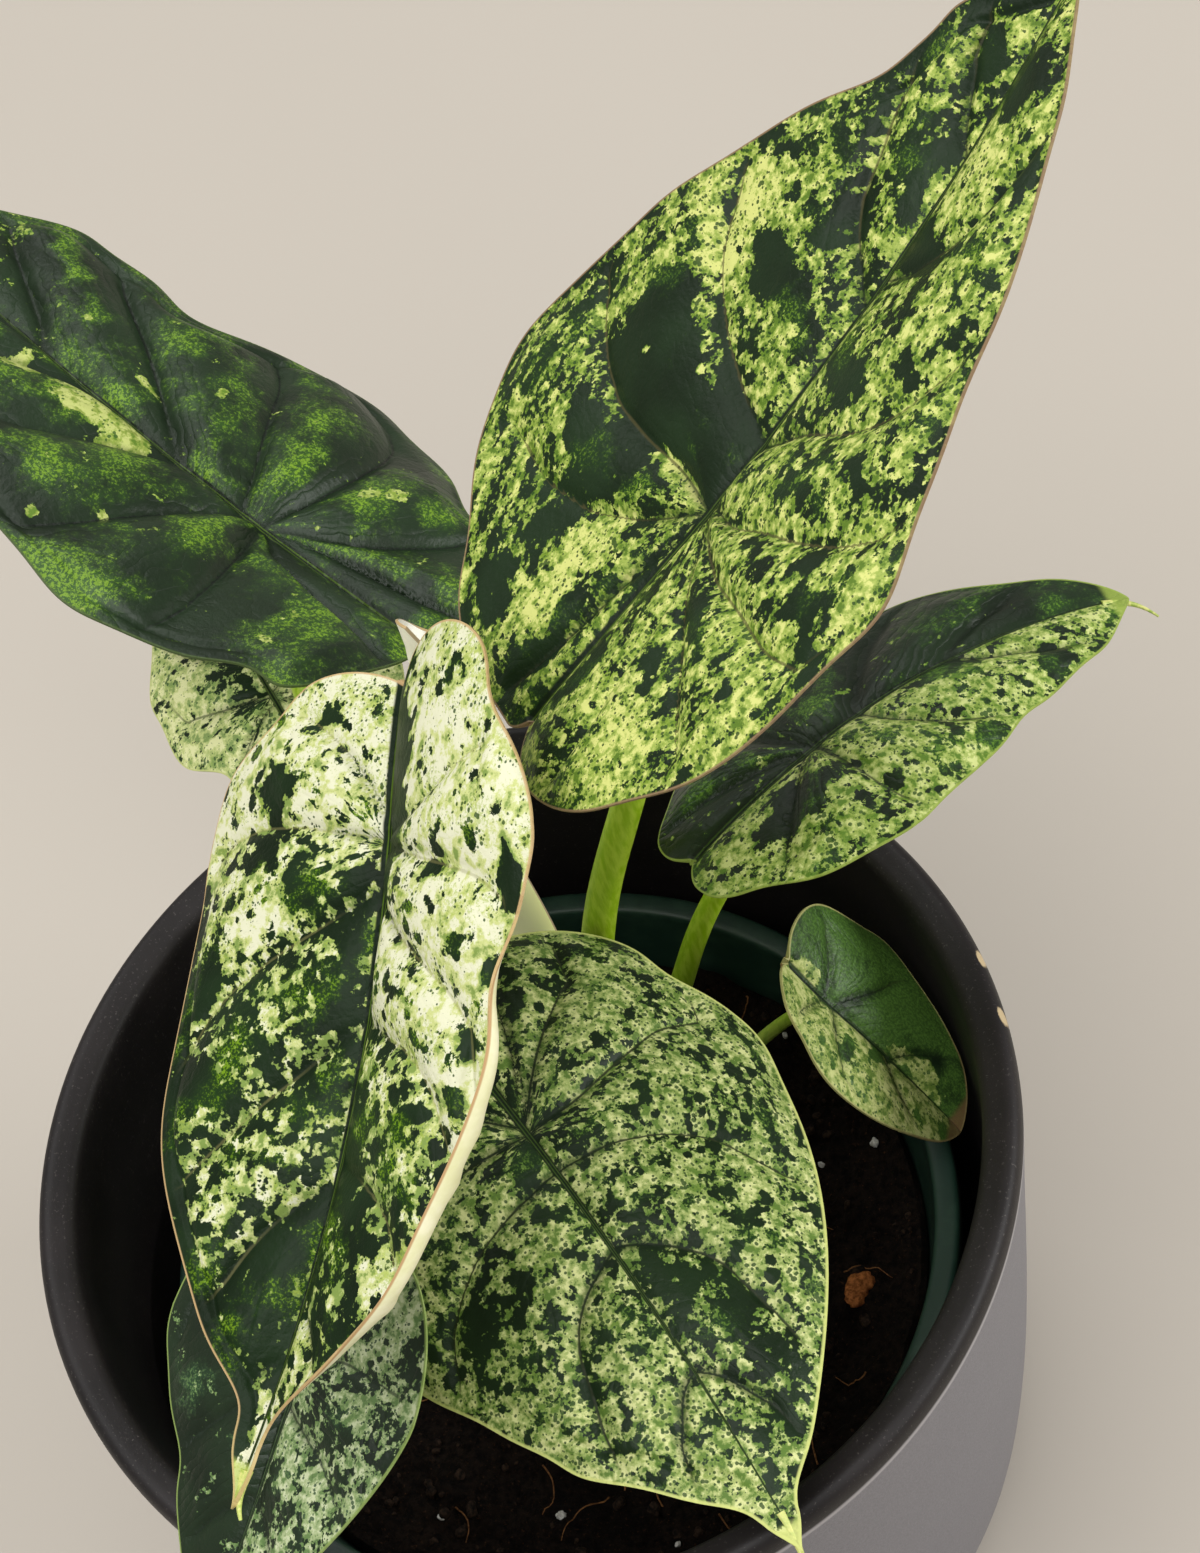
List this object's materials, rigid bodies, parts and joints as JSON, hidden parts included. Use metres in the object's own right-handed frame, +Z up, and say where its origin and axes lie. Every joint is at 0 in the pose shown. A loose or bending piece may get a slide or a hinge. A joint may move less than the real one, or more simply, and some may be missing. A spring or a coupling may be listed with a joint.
{
  "type": "potted green mint alocasia",
  "caption": "Young mottled alocasia with mint, cream and dark green arrow-shaped leaves, in a plastic nursery pot standing inside a dark ceramic cachepot.",
  "frame": {"origin": "middle of the cachepot's flat underside, on the surface it stands on", "axes": "+Z up along the pots' axis; the picture looks along +Y and down; +X to the picture's right"},
  "size_m": [0.2211, 0.2748, 0.2913],
  "materials": {
    "cachepot_ceramic": "satin",
    "nursery_plastic": "satin",
    "potting_soil": "matte",
    "rhizome_skin": "matte",
    "green_stalk": "satin",
    "mint_leaf": "satin",
    "dark_leaf": "satin",
    "cream_leaf": "satin"
  },
  "bodies": {
    "root": {"cachepot": "cachepot_ceramic", "nursery_pot": "nursery_plastic", "soil": "potting_soil", "rhizome": "rhizome_skin", "petiole_back_right": "green_stalk", "leaf_back_right": "mint_leaf", "petiole_back_left": "green_stalk", "leaf_back_left": "dark_leaf", "petiole_front_tall": "green_stalk", "leaf_front_tall": "cream_leaf", "petiole_front_low": "green_stalk", "leaf_front_low": "mint_leaf", "petiole_right": "green_stalk", "leaf_right": "mint_leaf", "petiole_inside_pot": "green_stalk", "leaf_inside_pot": "mint_leaf", "petiole_behind_left": "green_stalk", "leaf_behind_left": "mint_leaf", "petiole_front_left": "green_stalk", "leaf_front_left": "dark_leaf", "young_leaf_rolled": "cream_leaf"}
  },
  "joints": []
}
